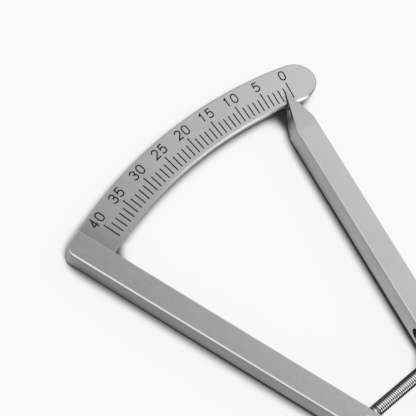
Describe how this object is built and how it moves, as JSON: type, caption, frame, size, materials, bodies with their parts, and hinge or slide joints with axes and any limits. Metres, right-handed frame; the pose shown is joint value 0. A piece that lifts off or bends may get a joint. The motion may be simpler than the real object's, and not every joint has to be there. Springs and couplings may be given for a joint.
{
  "type": "surgical caliper",
  "caption": "Straight surgical caliper with a curved graduated scale on one arm, a pointer on the other, and a threaded rod with a thumb nut that sets how far its points open.",
  "frame": {"origin": "pivot axis at the underside of the arms", "axes": "+Z along the pivot axis and out of the scale's engraved face; +Y from the pivot to the scale, halfway between the handles; +X towards the moving arm and the thumb nut"},
  "size_m": [0.0649, 0.1735, 0.0084],
  "materials": {
    "satin_steel": "satin ground steel",
    "scale_steel": "fine satin steel with dark filled engraving",
    "bright_steel": "turned and polished steel",
    "spring_steel": "rolled spring steel"
  },
  "bodies": {
    "fixed": {"fixed_arm": "satin_steel", "scale_plate": "scale_steel", "scale_dowels": "bright_steel", "pivot_screw": "bright_steel", "pivot_washer": "bright_steel", "rod_pin": "bright_steel", "leaf_spring": "spring_steel", "spring_screw": "bright_steel"},
    "moving": {"moving_arm": "satin_steel"},
    "rod": {"threaded_rod": "bright_steel"},
    "saddle": {"saddle_washer": "bright_steel"},
    "nut": {"thumb_nut": "bright_steel"}
  },
  "joints": [
    {"name": "arm_hinge", "type": "hinge", "parent": "fixed", "child": "moving", "pos_m": [0, 0, 0], "axis": [0, 0, 1], "range_deg": [-0.67, 29.83], "deforming": ["leaf_spring"]},
    {"name": "rod_hinge", "type": "hinge", "parent": "fixed", "child": "rod", "pos_m": [-0.01064, 0.03162, 0.0026], "axis": [0, 0, 1], "range_deg": [-0.34, 14.92]},
    {"name": "saddle_slide", "type": "slide", "parent": "rod", "child": "saddle", "axis": [0.9961, -0.0879, 0], "range_m": [-0.01655, 0.00045]},
    {"name": "nut_spin", "type": "hinge", "parent": "saddle", "child": "nut", "pos_m": [0.01602, 0.02926, 0.0026], "axis": [0.9961, -0.0879, 0], "continuous": true}
  ],
  "couplings": [
    {"joint": "rod_hinge", "follows": "arm_hinge", "ratio": 0.5},
    {"joint": "saddle_slide", "follows": "arm_hinge", "m_per_rad": -0.031733}
  ]
}
